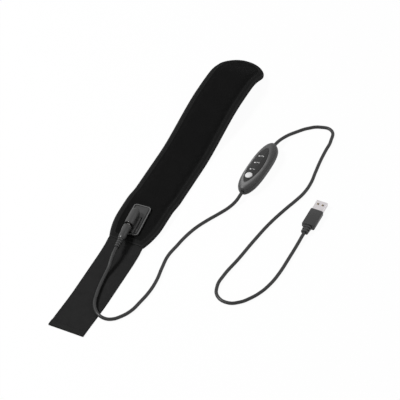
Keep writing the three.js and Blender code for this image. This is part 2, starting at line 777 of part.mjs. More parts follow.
function usbTongue() {
  const tongue = box(-usbSeat + 0.5, usbShow - tongueSetback, -tongueHalf, tongueHalf, tongueBase, tongueTop);
  const grooves = [0, 1, 2, 3].map((i) => {
    const half = contactWidth / 2 + 0.1;
    const end = usbShow - tongueSetback - 0.8;
    const y = contactY(i);
    return box(end - contactLength - 0.4, end, y - half, y + half, tongueTop - 0.2, tongueTop + 1);
  });
  return cut(tongue, ...grooves);
}

function usbContact(i) {
  const half = contactWidth / 2;
  const end = usbShow - tongueSetback - 1;
  const z0 = tongueTop - 0.15;
  return box(end - contactLength, end, contactY(i) - half, contactY(i) + half, z0, z0 + contactThickness);
}

// Cords
function cord(points) {
  const path = new THREE.CatmullRomCurve3(points);
  const section = new THREE.Shape();
  for (let i = 0; i < cordSides; i++) {
    const angle = (i * 2 * Math.PI) / cordSides;
    const corner = [cordRadius * Math.cos(angle), cordRadius * Math.sin(angle)];
    if (i === 0) section.moveTo(...corner);
    else section.lineTo(...corner);
  }
  const steps = Math.round(path.getLength() / cordStep);
  return new THREE.ExtrudeGeometry(section, { steps, extrudePath: path, bevelEnabled: false });
}

// A point of the jack, the controller or the USB plug, in the part's frame.
const placed = (group, x, y, z) => group.localToWorld(new THREE.Vector3(x, y, z));
const at = (x, y, z) => new THREE.Vector3(x, y, z);
const overStrap = strapThickness + cordRadius + seatGap;
const onTable = cordRadius + cordClearance;

const leadRoute = [
  placed(jack, plugEnd + cordSeat, tunnelOffset, axisHeight),
  placed(jack, plugEnd - 7, tunnelOffset, axisHeight - 0.3),
  at(-118, 0.6, 8.3),
  at(-126, -0.6, 5.6),
  at(-135, -1, overStrap + 0.3),
  at(-148, -2.5, overStrap),
  at(-160.5, -4.9, overStrap),
  at(-172.9, -8.5, overStrap),
  at(-180.3, -13.3, overStrap),
  at(-185.3, -19.9, 3.4),
  at(-185.8, -27.4, 2.4),
  at(-182.9, -33.4, 2),
  at(-178, -38, onTable),
  at(-165.9, -44.6, onTable),
  at(-150.6, -47.8, onTable),
  at(-134.6, -49.9, onTable),
  at(-117.9, -49.7, onTable),
  at(-100.4, -47.2, onTable),
  at(-83, -45.5, onTable),
  at(-66.5, -47.5, onTable),
  at(-50.2, -50.1, onTable),
  at(-34.8, -54.3, onTable),
  at(-20.6, -60.3, onTable),
  at(-6.9, -67.1, onTable),
  at(5.5, -72.7, 2.2),
  at(14.5, -75.8, 3.8),
  placed(controller, -noseX - 4, 0, controllerCordHeight - 0.1),
  placed(controller, -noseX + 2, 0, controllerCordHeight),
  placed(controller, -noseX + cordInside, 0, controllerCordHeight),
];

const supplyRoute = [
  placed(controller, noseX - cordInside, 0, controllerCordHeight),
  placed(controller, noseX - 2, 0, controllerCordHeight),
  placed(controller, noseX + 4, 0, controllerCordHeight - 0.1),
  at(123.5, -83.2, 3.6),
  at(137.2, -90.6, onTable),
  at(147, -99.1, onTable),
  at(153.9, -109.6, onTable),
  at(154.3, -122.4, onTable),
  at(139.5, -128.2, onTable),
  at(122.8, -129.1, onTable),
  at(106.5, -130.2, onTable),
  at(89.8, -132.1, onTable),
  at(73.1, -134.1, onTable),
  at(57.6, -133.5, onTable),
  at(43.4, -130.3, onTable),
  at(29.5, -126.2, onTable),
  at(1.7, -119.3, onTable),
  at(-27.1, -114.8, onTable),
  at(-56.2, -111.3, onTable),
  at(-84.4, -107.2, onTable),
  at(-99.1, -107.4, onTable),
  at(-112.3, -114, onTable),
  at(-115.6, -126.4, onTable),
  at(-110, -136.5, onTable),
  at(-100.5, -144, onTable),
  at(-89.2, -149.8, onTable),
  at(-76.2, -153.7, onTable),
  at(-62, -155.8, onTable),
  at(-32.1, -156.6, onTable),
  at(-14, -156.8, 2.5),
  placed(usb, usbBack - 4, 0, -0.1),
  placed(usb, usbBack + cordSeat, 0, 0),
];

// Assembly
function piece(group, name, geometry, material) {
  const mesh = new THREE.Mesh(geometry, material);
  mesh.name = name;
  group.add(mesh);
}

piece(heaterStrip, "back_cover", backCover(), materials.backing);
piece(heaterStrip, "heater_film", heaterFilm(), materials.film);
piece(heaterStrip, "top_cover", topCover(), materials.fleece);
piece(heaterStrip, "strap", strapBand(), materials.webbing);

piece(jack, "jack_tab_left", jackTab(1), materials.brass);
piece(jack, "jack_tab_right", jackTab(-1), materials.brass);
piece(jack, "jack_housing", jackHousing(), materials.softPlastic);
piece(jack, "jack_socket", jackSocket(), materials.blackPlastic);
piece(jack, "jack_pin", jackPin(), materials.brass);
piece(jack, "plug_moulding", plugMoulding(), materials.softPlastic);
piece(jack, "plug_barrel", plugBarrel(), materials.steel);
piece(jack, "plug_insulator", plugInsulator(), materials.blackPlastic);
piece(jack, "plug_inner_contact", plugInnerContact(), materials.brass);

piece(heaterStrip, "lead_cord", cord(leadRoute), materials.cordJacket);
piece(heaterStrip, "supply_cord", cord(supplyRoute), materials.cordJacket);

piece(controller, "controller_cover", controllerCover(), materials.shell);
piece(controller, "controller_base", base, materials.shell);
piece(controller, "controller_label", controllerLabel(), materials.label);
piece(controller, "power_button", powerButton(), materials.button);
piece(controller, "circuit_board", circuitBoard(), materials.board);
piece(controller, "tact_switch", tactSwitch(), materials.blackPlastic);
ledPlaces.forEach((x, i) => piece(controller, `level_led_${i + 1}`, levelLed(x), materials.lens));
piece(controller, "cord_stopper_in", cordStopper(-1), materials.blackPlastic);
piece(controller, "cord_stopper_out", cordStopper(1), materials.blackPlastic);

piece(usb, "usb_grip", usbGrip(), materials.softPlastic);
piece(usb, "usb_shell", usbShell(), materials.steel);
piece(usb, "usb_tongue", usbTongue(), materials.insulator);
for (let i = 0; i < 4; i++) piece(usb, `usb_contact_${i + 1}`, usbContact(i), materials.brass);

export default heaterStrip;
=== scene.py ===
import json
import math

import bpy
from mathutils import Matrix, Vector, noise

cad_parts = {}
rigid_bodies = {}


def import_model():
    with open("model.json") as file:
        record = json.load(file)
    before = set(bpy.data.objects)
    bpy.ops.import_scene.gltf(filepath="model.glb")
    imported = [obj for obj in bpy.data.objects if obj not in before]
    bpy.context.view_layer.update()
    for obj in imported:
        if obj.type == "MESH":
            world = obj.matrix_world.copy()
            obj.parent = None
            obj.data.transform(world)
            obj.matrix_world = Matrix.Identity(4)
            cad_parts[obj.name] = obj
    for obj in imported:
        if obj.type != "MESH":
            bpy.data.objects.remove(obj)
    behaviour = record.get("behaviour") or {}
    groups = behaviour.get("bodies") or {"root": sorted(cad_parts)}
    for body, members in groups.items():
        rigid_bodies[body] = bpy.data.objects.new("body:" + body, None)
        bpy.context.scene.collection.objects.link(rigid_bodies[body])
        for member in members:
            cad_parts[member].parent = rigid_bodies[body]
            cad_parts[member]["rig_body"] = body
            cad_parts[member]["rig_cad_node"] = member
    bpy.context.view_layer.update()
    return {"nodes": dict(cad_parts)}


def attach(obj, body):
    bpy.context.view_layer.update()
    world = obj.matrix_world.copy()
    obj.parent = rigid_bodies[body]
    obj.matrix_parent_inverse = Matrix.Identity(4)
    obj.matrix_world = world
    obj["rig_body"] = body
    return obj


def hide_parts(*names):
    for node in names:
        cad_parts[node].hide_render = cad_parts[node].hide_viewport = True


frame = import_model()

bpy.ops.object.select_all(action="DESELECT")

MM = 0.001

# Camera: a long lens, 45 degrees above the table and 65 degrees round from the strip
view_turn, view_tilt = math.radians(-65), math.radians(45)
view_target = Vector((4.2, -40.3, 0)) * MM
view_distance = 2.7
view_lens = 237.4

# Band and strap, as laid on the table (millimetres)
band_length, band_width, band_tip_radius = 299, 51.2, 24
shoulder_length = 35
strap_length, strap_width, strap_thickness = 131, 38, 1.4
strap_tail, strap_hem, hem_thickness = 20, 7, 0.9
back_thickness, seam_gap, seam_lip = 1.2, 0.3, 1.2
rim_height, crown_height, border_width, fold_radius = 4.0, 5.4, 6.5, 2.2
jack_slope = {"start": -6, "end": 48, "fall_from": 54, "landing": 76, "height": 3}  # from the sewn end
arch = {"rise": -171, "crest": -73, "crest_end": -47, "fall": -2, "height": 12.8}  # from the tip
strap_sway = {"start": 55, "end": -9, "aside": 2}  # from the strap's end
band_sway = {"start": -12, "end": 0, "aside": 0.7}  # from the sewn end
tip_sway = {"start": -65, "end": -15, "aside": -1.1}  # from the tip
strap_lift = {"start": -28, "end": -2}  # from the sewn end

strap_end = -(band_length + strap_length) / 2
tip_end = -strap_end
band_end = tip_end - band_length
band_half = band_width / 2
tip_centre = tip_end - band_tip_radius
tip_offset = band_half - band_tip_radius
seam_top = back_thickness + seam_gap
jack_middle = band_end + 27.8
jack_aside, jack_turn = 2, 4  # millimetres to +Y, and degrees
plate_length, plate_width, plate_corner = 40, 18.5, 3.6
plate_bed_length, plate_bed_width = 43, 21  # where the cover stays flat for the plate
# where the jack's painted groove shade and painted lip highlight lie, in from the plate's edge
groove_inset, lip_inset, lip_fade = 2.2, 0.8, 0.3

# Wadding, seams and thread
middle_inset = 7.6  # the soft middle starts this far inside the outline
stitch_inset, stitch_pitch, thread_radius = 5.5, 3.0, 0.24
stitch_straight = 1.2  # between the two ends, which dip into the cloth
channel_depth, channel_width, back_channel_depth = 0.45, 1.1, 0.35
tape_rise = 0.25
pucker_depth, pucker_size, pucker_reach = 0.16, 2.6, 2.2
wadding_gap, wadding_ease = 0.4, 3  # from the border to where the wadding is free to swell
swell_cap, swell_steps = 1.1, 20
wadding_scale = 0.005  # the wadding swells on a pattern five times life size
selvedge_depth, selvedge_width = 0.3, 1.2
strap_seam_inset, strap_seam_depth, strap_seam_width = 2.5, 0.25, 0.8
hem_step, hem_seam_depth = 1.2, 0.3
hem_seam_x = strap_end + strap_hem - 1.2

cord_diameter = 3.5 * MM

# Controller: its place, its turn and its lean to +Y in degrees, and its sizes in millimetres
controller_place = Vector((65.5, -78.8, 1.353)) * MM
controller_turn, controller_lean = -1.7, 10
controller_length, controller_width, controller_height = 74, 23, 12.8
controller_fullness, cover_roundness, cover_nose = 2.65, 0.84, 0.44
parting_height = 4.4
light_places = (-10, 0.5, 11.2)
label_length, label_width, label_point, label_shift = 54, 14, 1.2, -2
number_height, number_y, ink_thickness = 3.1, -2.4, 0.06


# Scene
scene = bpy.context.scene
scene.view_settings.view_transform = "Standard"


def only(*objects):
    bpy.ops.object.select_all(action="DESELECT")
    for item in objects:
        item.select_set(True)
    bpy.context.view_layer.objects.active = objects[0]


def place_camera():
    back = Vector((
        math.sin(view_turn) * math.cos(view_tilt),
        -math.cos(view_turn) * math.cos(view_tilt),
        math.sin(view_tilt),
    ))
    bpy.ops.object.camera_add(location=view_target + back * view_distance)
    camera = bpy.context.object
    camera.rotation_mode = "QUATERNION"
    camera.rotation_quaternion = (-back).to_track_quat("-Z", "Y")
    camera.data.lens = view_lens
    camera.data.sensor_width = 36
    camera.data.clip_end = 20
    camera.data.dof.use_dof = False
    scene.camera = camera


# Materials
class Amount:
    """A number that varies over a surface. Sums on it work as on a plain number."""

    def __init__(self, network, socket):
        self.network = network
        self.socket = socket

    def _math(self, operation, first, second):
        return self.network.node("ShaderNodeMath", {"operation": operation}, {0: first, 1: second})

    def __add__(self, other):
        return self._math("ADD", self, other)

    __radd__ = __add__

    def __sub__(self, other):
        return self._math("SUBTRACT", self, other)

    def __rsub__(self, other):
        return self._math("SUBTRACT", other, self)

    def __mul__(self, other):
        return self._math("MULTIPLY", self, other)

    __rmul__ = __mul__

    def above(self, other):
        return self._math("MAXIMUM", self, other)

    def raised(self, power):
        return self._math("POWER", self, power)


class Network:
    """A tree of shader nodes, and the patterns that are made in it."""

    def __init__(self, tree):
        self.tree = tree

    def feed(self, socket, value):
        if isinstance(value, Amount):
            value = value.socket
        if isinstance(value, bpy.types.NodeSocket):
            self.tree.links.new(value, socket)
        else:
            socket.default_value = value

    def node(self, kind, settings=None, sockets=None, output=0):
        node = self.tree.nodes.new(kind)
        for key, value in (settings or {}).items():
            setattr(node, key, value)
        for key, value in (sockets or {}).items():
            self.feed(node.inputs[key], value)
        return Amount(self, node.outputs[output])

    def mapped(self, vector, scale=(1, 1, 1), turn=(0, 0, 0)):
        return self.node("ShaderNodeMapping", None, {"Vector": vector, "Scale": scale, "Rotation": turn})

    def noise(self, vector, size, detail=3.0, rough=0.55):
        """Soft blotches about `size` metres across, from 0 to 1."""
        return self.node("ShaderNodeTexNoise", None, {
            "Vector": vector, "Scale": 1 / size, "Detail": detail, "Roughness": rough,
        })

    def part(self, vector, axis):
        return self.node("ShaderNodeSeparateXYZ", None, {0: vector}, output=axis)

    def ripple(self, along, pitch):
        """Even waves of that pitch, from -1 to 1."""
        return self.node("ShaderNodeMath", {"operation": "SINE"}, {0: along * (2 * math.pi / pitch)})

    def spread(self, value, low, high, to_low=0.0, to_high=1.0):
        return self.node("ShaderNodeMapRange", None, {
            "Value": value, "From Min": low, "From Max": high, "To Min": to_low, "To Max": to_high,
        })

    def vector(self, operation, first, second=(0, 0, 0), output=0):
        return self.node("ShaderNodeVectorMath", {"operation": operation}, {0: first, 1: second}, output)

    def blend(self, factor, first, second):
        return self.node("ShaderNodeMix", {"data_type": "RGBA"}, {0: factor, 6: first, 7: second}, output=2)

    def white_to_camera(self, shader, share):
        """Mixes in plain white for what the camera, gloss and glass see."""
        seen = self.node("ShaderNodeLightPath", output="Is Camera Ray")
        for ray in ("Is Glossy Ray", "Is Transmission Ray"):
            seen = seen.above(self.node("ShaderNodeLightPath", output=ray))
        white = self.node("ShaderNodeEmission", None, {"Color": (1, 1, 1, 1)})
        return self.node("ShaderNodeMixShader", None, {0: seen * share, 1: shader, 2: white})


class Finish(Network):
    """A material whose shader is fed by patterns."""

    def __init__(self, name, roughness=0.5, metallic=0.0, gloss=0.5):
        self.material = bpy.data.materials.new(name)
        self.material.use_nodes = True
        super().__init__(self.material.node_tree)
        self.shader = self.tree.nodes["Principled BSDF"]
        self.shader.inputs["Roughness"].default_value = roughness
        self.shader.inputs["Metallic"].default_value = metallic
        self.shader.inputs["Specular IOR Level"].default_value = gloss
        self.here = self.node("ShaderNodeTexCoord", output="Object")

    def seated(self, place, turn):
        """Coordinates in the frame of something that lies at `place`, turned by the matrix `turn`."""
        return self.node("ShaderNodeMapping", {"vector_type": "TEXTURE"}, {
            "Vector": self.here, "Location": place, "Rotation": turn.to_euler("XYZ"),
        })

    def colour(self, value):
        self.feed(self.shader.inputs["Base Color"], value)

    def rough(self, value):
        self.feed(self.shader.inputs["Roughness"], value)

    def bump(self, height, depth, strength=1.0):
        """Raised by `depth` metres where height is 1."""
        bump = self.node("ShaderNodeBump", None, {
            "Strength": strength, "Distance": depth, "Height": height,
        })
        self.feed(self.shader.inputs["Normal"], bump)


def grey(level, tint=(1, 1, 1)):
    """A colour from its screen level, 0 to 255."""
    linear = ((level / 255 + 0.055) / 1.055) ** 2.4 if level > 10 else level / 255 / 12.92
    return (linear * tint[0], linear * tint[1], linear * tint[2], 1)


def fleece():
    """Brushed black fleece. Its sewn border is paler, and the fold round its edge is painted paler still: a
    painted sheen standing in for the light on the band's side.
    """
    finish = Finish("black_fleece", 0.97, gloss=0.03)
    nap = finish.noise(finish.here, 0.0006, 4)
    patches = finish.noise(finish.here, 0.014, 3)
    inset = finish.node("ShaderNodeAttribute", {"attribute_name": "inset"}, output="Fac")
    fibres = nap * 0.55 + patches * 0.45
    soft = finish.blend(fibres, grey(14), grey(25))
    pressed = finish.blend(fibres, grey(25), grey(37))
    # painted sheen: the fold's colour is raised to stand in for the light that falls on the band's side
    fold = finish.blend(fibres, grey(41), grey(55))
    edge = finish.blend(finish.spread(inset, 1.2, 2.6), fold, pressed)
    middle = finish.spread(inset, border_width - 0.3, border_width + 0.3)
    finish.colour(finish.blend(middle, edge, soft))
    finish.bump(nap, 0.0006, 0.75)
    return finish.material


def backing():
    """Knitted backing: crossed rows of fine loops."""
    finish = Finish("black_backing", 0.93, gloss=0.05)
    across = finish.part(finish.here, "Y")
    along = finish.part(finish.here, "X")
    knit = finish.ripple(across, 0.0012) * finish.ripple(along + across * 0.5, 0.0012)
    fibres = finish.noise(finish.here, 0.0008, 4)
    finish.colour(finish.blend(fibres, grey(24), grey(40)))
    finish.bump(knit * 0.5 + fibres * 0.5, 0.0003, 0.7)
    return finish.material


def webbing():
    """Loop webbing: fine ribs with broken loops of yarn over them, and a flat selvedge."""
    finish = Finish("black_webbing", 0.92, gloss=0.05)
    along = finish.part(finish.here, "X")
    across = finish.part(finish.here, "Y")
    loops = finish.noise(finish.mapped(finish.here, (1, 1.8, 1)), 0.0009, 4)
    ribs = finish.ripple(along, 0.0016) * finish.ripple(across, 0.0013)
    mottle = finish.noise(finish.here, 0.007, 3)
    finish.colour(finish.blend(loops * 0.5 + mottle * 0.5, grey(28), grey(46)))
    finish.bump(ribs * 0.3 + loops * 0.7, 0.0005, 0.8)
    return finish.material


def sewing_thread():
    """Two-ply thread: a tight twist along it."""
    finish = Finish("sewing_thread", 0.7, gloss=0.15)
    twist = finish.ripple(finish.part(finish.here, "X") + finish.part(finish.here, "Y"), 0.0007)
    haze = finish.noise(finish.here, 0.004, 2)
    finish.colour(finish.blend(haze, grey(22), grey(38)))
    finish.bump(twist, 0.0001, 0.5)
    return finish.material


def plastic_grain(finish):
    """The fine raised skin of moulded plastic, and its broad flow marks."""
    skin = finish.noise(finish.here, 0.0004, 3)
    finish.bump(skin, 0.00006, 0.5)
    return skin, finish.noise(finish.here, 0.009, 2)


def moulded(name, dark, pale, roughness, gloss, tint=(1, 1, 1)):
    """Moulded plastic: a fine matt skin with faint flow marks and rubbed patches."""
    finish = Finish(name, roughness, gloss=gloss)
    skin, flow = plastic_grain(finish)
    finish.colour(finish.blend(flow, grey(dark, tint), grey(pale, tint)))
    finish.rough(finish.spread(skin + flow, 0.6, 1.4, roughness - 0.08, roughness + 0.08))
    return finish.material


def metal(name, colour, roughness):
    """Plated or bare metal: fine rolling marks along it and a little tarnish."""
    finish = Finish(name, roughness, 1.0)
    grain = finish.noise(finish.mapped(finish.here, (0.08, 1, 1)), 0.0003, 3)
    tarnish = finish.noise(finish.here, 0.004, 3)
    finish.colour(finish.blend(tarnish, colour, tuple(c * 0.84 for c in colour[:3]) + (1,)))
    finish.rough(finish.spread(grain, 0.3, 0.7, roughness - 0.07, roughness + 0.09))
    finish.bump(grain, 0.00002, 0.4)
    return finish.material


def jacket():
    """Cord jacket: smooth black vinyl with a slight gloss, dulled by handling."""
    finish = Finish("cord_jacket", 0.4, gloss=0.3)
    haze = finish.noise(finish.here, 0.005, 3)
    skin = finish.noise(finish.here, 0.0007, 2)
    finish.colour(finish.blend(haze, grey(35), grey(46)))
    finish.rough(finish.spread(haze, 0.3, 0.7, 0.34, 0.46))
    finish.bump(skin, 0.00005, 0.5)
    return finish.material


black_fleece = fleece()
black_backing = backing()
black_webbing = webbing()
black_thread = sewing_thread()
cord_jacket = jacket()
plug_grey = moulded("plug_grey", 38, 47, 0.4, 0.4)
label_grey = moulded("label_grey", 32, 40, 0.4, 0.25)
button_grey = moulded("button_pale", 212, 224, 0.45, 0.3)
lens_pale = moulded("lens_pale", 205, 222, 0.25, 0.4)
print_white = moulded("printed_marks", 205, 218, 0.5, 0.2)
hard_black = moulded("hard_black", 22, 30, 0.5, 0.3)
tongue_white = moulded("tongue_white", 228, 236, 0.45, 0.3)
board_green = moulded("board_green", 78, 92, 0.5, 0.3, (0.4, 1.2, 0.6))
film_amber = moulded("film_amber", 118, 134, 0.5, 0.3, (1.3, 0.9, 0.4))
plated = metal("plated_steel", (0.66, 0.63, 0.64, 1), 0.3)
bright_nickel = metal("bright_nickel", (0.9, 0.88, 0.87, 1), 0.18)
brass = metal("contact_brass", (0.79, 0.62, 0.32, 1), 0.3)


def dress(piece, material, body="strip"):
    piece.data.materials.clear()
    piece.data.materials.append(material)
    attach(piece, body)
    return piece


# How the strip lies on the table
def between(value, start, end):
    return (value - start) / (end - start)


def smooth(t):
    """A rise from 0 to 1 that starts and ends level."""
    return 0.5 - 0.5 * math.cos(math.pi * min(1, max(0, t)))


def groove(distance, width):
    """1 in the middle of a groove, 0 where it ends."""
    return max(0, 1 - abs(distance) / width) ** 2


def ramp(t):
    """An even rise from 0 to 1, its two corners rounded."""
    soft = 0.1

    def area(u):
        return max(0, u) ** 2 / 2 if u < 1 else u - 0.5

    return (area(t + soft) - area(t - soft)) / (2 * soft)


def table_gap(x):
    from_seam, from_tip = x - band_end, x - tip_end
    up = ramp(between(from_seam, jack_slope["start"], jack_slope["end"]))
    down = smooth(between(from_seam, jack_slope["landing"], jack_slope["fall_from"]))
    rising = smooth(between(from_tip, arch["rise"], arch["crest"]))
    falling = smooth(between(from_tip, arch["fall"], arch["crest_end"]))
    return jack_slope["height"] * up * down + arch["height"] * rising * falling


def swing(along, sway):
    return sway["aside"] * smooth(between(along, sway["start"], sway["end"]))


def sideways(x):
    return swing(x - strap_end, strap_sway) + swing(x - band_end, band_sway) + swing(x - tip_end, tip_sway)


def laid(x, y, above):
    """A point of the strip, `above` its underside, in the part's frame."""
    slope = math.atan2(table_gap(x + 0.5) - table_gap(x - 0.5), 1)
    lifted = table_gap(x) + math.cos(slope) * above
    return Vector((x - math.sin(slope) * above, y + sideways(x), lifted)) * MM


def lay_down(piece):
    """Takes a piece from its flat pattern, in millimetres, to how it lies."""
    for vertex in piece.data.vertices:
        vertex.co = laid(*vertex.co)
    only(piece)
    bpy.ops.object.mode_set(mode="EDIT")
    bpy.ops.mesh.select_all(action="SELECT")
    bpy.ops.mesh.normals_make_consistent(inside=False)
    bpy.ops.object.mode_set(mode="OBJECT")
    bpy.ops.object.shade_smooth_by_angle(angle=math.radians(50))
    return piece


# The band's plan
def band_half_width(x):
    drop = band_half - strap_width / 2
    radius = (shoulder_length ** 2 + drop ** 2) / (2 * drop)
    into_shoulder = max(0, band_end + shoulder_length - x)
    into_tip = max(0, x - tip_centre)
    shoulder = radius - math.sqrt(radius ** 2 - into_shoulder ** 2)
    tip = band_tip_radius - math.sqrt(max(0, band_tip_radius ** 2 - into_tip ** 2))
    return band_half - shoulder - tip


def distance_to_edge(x, y):
    corner_x = x - tip_centre
    corner_y = abs(y) - tip_offset
    if corner_x > 0 and corner_y > 0:
        return max(0, band_tip_radius - math.hypot(corner_x, corner_y))
    return max(0, min(band_half_width(x) - abs(y), x - band_end + seam_lip, tip_end - x))


straight_share = 0.935  # of the pattern's length, before its sides turn into the tip


def side_point(along, inset):
    """A point of the +Y side of the outline, moved in by `inset`: 0 at the sewn end, 1 round the tip."""
    if along <= straight_share:
        start = band_end + inset * (1 - seam_lip / middle_inset)
        x = start + (tip_centre - start) * along / straight_share
        return x, band_half_width(x) - inset
    angle = math.radians(90 - 45 * (along - straight_share) / (1 - straight_share))
    radius = band_tip_radius - inset
    return tip_centre + radius * math.cos(angle), tip_offset + radius * math.sin(angle)


def plan_point(along, across, inset):
    """A point of the band's plan. Rows run along it and close round the tip."""
    x, y = side_point(along, inset)
    corner = side_point(1, inset)
    angle = math.radians(45 * across)
    radius = band_tip_radius - inset
    bulge = smooth((along - 0.85) / 0.15)
    round_x = tip_centre + radius * math.cos(angle) - corner[0]
    round_y = tip_offset * across + radius * math.sin(angle) - across * corner[1]
    return x + bulge * round_x, across * y + bulge * round_y


border_rings = (7.1, 6.75, 6.45, 6.1, 5.5, 4.9, 4.0, 3.0, 2.2, 1.5, 0.9, 0.45, 0.15, 0)


def band_pattern(name, below, above, columns=156, rows=24, rings=border_rings):
    """A flat layer of the band, in millimetres: a grid, its edge then drawn out ring by ring."""
    bpy.ops.mesh.primitive_grid_add(x_subdivisions=columns, y_subdivisions=rows, size=2)
    piece = bpy.context.object
    piece.name = name
    mesh = piece.data
    for key in ("along", "across", "inset"):
        mesh.attributes.new(key, "FLOAT", "POINT")
    for vertex in mesh.vertices:
        place = ((vertex.co.x + 1) / 2, vertex.co.y)
        mesh.attributes["along"].data[vertex.index].value = place[0]
        mesh.attributes["across"].data[vertex.index].value = place[1]
        vertex.co = (*plan_point(*place, middle_inset), 0)
    for ring in rings:
        bpy.ops.object.mode_set(mode="EDIT")
        bpy.ops.mesh.select_mode(type="EDGE")
        bpy.ops.mesh.select_all(action="SELECT")
        bpy.ops.mesh.region_to_loop()
        bpy.ops.mesh.extrude_edges_move()
        bpy.ops.object.mode_set(mode="OBJECT")
        along, across = mesh.attributes["along"].data, mesh.attributes["across"].data
        for vertex in mesh.vertices:
            if vertex.select:
                place = along[vertex.index].value, across[vertex.index].value
                vertex.co = (*plan_point(*place, ring), 0)
    for vertex in mesh.vertices:
        mesh.attributes["inset"].data[vertex.index].value = distance_to_edge(vertex.co.x, vertex.co.y)
    bpy.ops.object.mode_set(mode="EDIT")
    bpy.ops.mesh.select_mode(type="FACE")
    bpy.ops.mesh.select_all(action="SELECT")
    bpy.ops.mesh.extrude_region_move(TRANSFORM_OT_translate={"value": (0, 0, 1)})
    bpy.ops.object.mode_set(mode="OBJECT")
    for vertex in mesh.vertices:
        x, y, layer = vertex.co
        vertex.co.z = above(x, y) if layer > 0.5 else below(x, y)
    return piece


def wadded_height(x, y):
    inwards = distance_to_edge(x, y)
    fold = fold_radius - math.sqrt(fold_radius ** 2 - max(0, fold_radius - inwards) ** 2)
    return rim_height - fold + (crown_height - rim_height) * smooth((inwards - 1) / (border_width - 1))


def clear_of_jack(x, y):
    """0 under the jack's plate, 1 away from it."""
    beyond = max(abs(x - jack_middle) - plate_bed_length / 2, abs(y - jack_aside) - plate_bed_width / 2)
    return smooth(beyond / 4)


def swell(piece):
    """The cover is blown up by its wadding, but not where it is sewn, nor under the jack's plate."""
    held = piece.vertex_groups.new(name="held_down")
    flat = [vertex.co.copy() for vertex in piece.data.vertices]
    for vertex, place in zip(piece.data.vertices, flat):
        inwards = distance_to_edge(place.x, place.y)
        free = smooth((inwards - border_width - wadding_gap) / wadding_ease)
        free *= clear_of_jack(place.x, place.y)
        held.add([vertex.index], 1 if place.z < rim_height else 1 - free, "REPLACE")
        vertex.co = place * wadding_scale
    wadding = piece.modifiers.new("wadding", "CLOTH")
    wadding.settings.vertex_group_mass = held.name
    wadding.settings.use_pressure = True
    wadding.settings.uniform_pressure_force = 4
    wadding.settings.shrink_min = -0.05
    wadding.settings.effector_weights.gravity = 0
    for step in range(1, swell_steps + 1):
        scene.frame_set(step)
    only(piece)
    bpy.ops.object.modifier_apply(modifier=wadding.name)
    scene.frame_set(1)
    for vertex, place in zip(piece.data.vertices, flat):
        moved = vertex.co / wadding_scale - place
        if moved.length > swell_cap:
            moved *= swell_cap / moved.length
        vertex.co = place + moved
    piece.vertex_groups.clear()


def refine(piece):
    finer = piece.modifiers.new("finer", "SUBSURF")
    finer.levels = finer.render_levels = 1
    only(piece)
    bpy.ops.object.modifier_apply(modifier=finer.name)


def bumps(x, y, length, width, layer):
    """Uneven relief from -1 to 1, with bumps of that size."""
    return noise.noise(Vector((x / length, y / width, layer)))


def seam_relief(x, y):
    """The sewn channel, the pressed border, the puckers that the thread pulls in, and soft creases."""
    inwards = distance_to_edge(x, y)
    channel = channel_depth * groove(inwards - stitch_inset, channel_width)
    border = tape_rise * smooth((border_width + 0.2 - inwards) / 0.4) * smooth(inwards / 2)
    pucker = pucker_depth * bumps(x, y, pucker_size, pucker_size, 3.7)
    pucker *= math.exp(-abs(inwards - stitch_inset) / pucker_reach)
    creases = 0.16 * abs(bumps(x, y, 26, 15, 3.1)) + 0.1 * abs(bumps(x, y, 8, 6, 8.7))
    creases *= smooth((inwards - border_width) / 5)
    return border - channel + (pucker - creases) * clear_of_jack(x, y)


def make_top_cover():
    piece = band_pattern("band_top", lambda x, y: seam_top, wadded_height)
    swell(piece)
    refine(piece)
    fold_side = seam_top + 0.9
    for vertex in piece.data.vertices:
        if vertex.co.z > fold_side:
            vertex.co.z += seam_relief(vertex.co.x, vertex.co.y)
    return lay_down(piece)


top_cover = make_top_cover()
dress(top_cover, black_fleece)
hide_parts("top_cover")


def back_underside(x, y):
    inwards = distance_to_edge(x, y)
    turned_up = 0.35 * groove(inwards, 1)
    return turned_up + back_channel_depth * groove(inwards - stitch_inset, channel_width)


back_cover = band_pattern(
    "band_back", back_underside, lambda x, y: back_thickness,
    rings=(6.6, 6.0, 5.5, 5.0, 4.4, 2, 0.9, 0.4, 0),
)
refine(back_cover)
lay_down(back_cover)
dress(back_cover, black_backing)
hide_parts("back_cover")


# Strap
def strap_underside(x):
    return seam_top * smooth(between(x - band_end, strap_lift["start"], strap_lift["end"]))


def strap_top(x, y):
    hem = hem_thickness * smooth((strap_end + strap_hem - x) / hem_step + 0.5)
    from_side = strap_width / 2 - abs(y)
    selvedge = selvedge_depth * groove(from_side, selvedge_width)
    side_seam = strap_seam_depth * groove(from_side - strap_seam_inset, strap_seam_width)
    hem_seam = hem_seam_depth * groove(x - hem_seam_x, strap_seam_width)
    return strap_underside(x) + strap_thickness + hem - selvedge - side_seam - hem_seam


def make_strap():
    columns, rows = 260, 48
    crowding = 1.3  # the rows stand closer together towards the sides
    start, length = strap_end, band_end + strap_tail - strap_end
    bpy.ops.mesh.primitive_grid_add(x_subdivisions=columns, y_subdivisions=rows, size=2)
    piece = bpy.context.object
    piece.name = "strap_cloth"
    bpy.ops.object.mode_set(mode="EDIT")
    bpy.ops.mesh.select_all(action="SELECT")
    bpy.ops.mesh.extrude_region_move(TRANSFORM_OT_translate={"value": (0, 0, 1)})
    bpy.ops.object.mode_set(mode="OBJECT")
    for vertex in piece.data.vertices:
        x = start + length * (vertex.co.x + 1) / 2
        y = strap_width / 2 * math.sin(vertex.co.y * crowding) / math.sin(crowding)
        height = strap_top(x, y) if vertex.co.z > 0.5 else strap_underside(x)
        vertex.co = (x, y, height)
    return lay_down(piece)


strap = make_strap()
dress(strap, black_webbing)
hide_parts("strap")


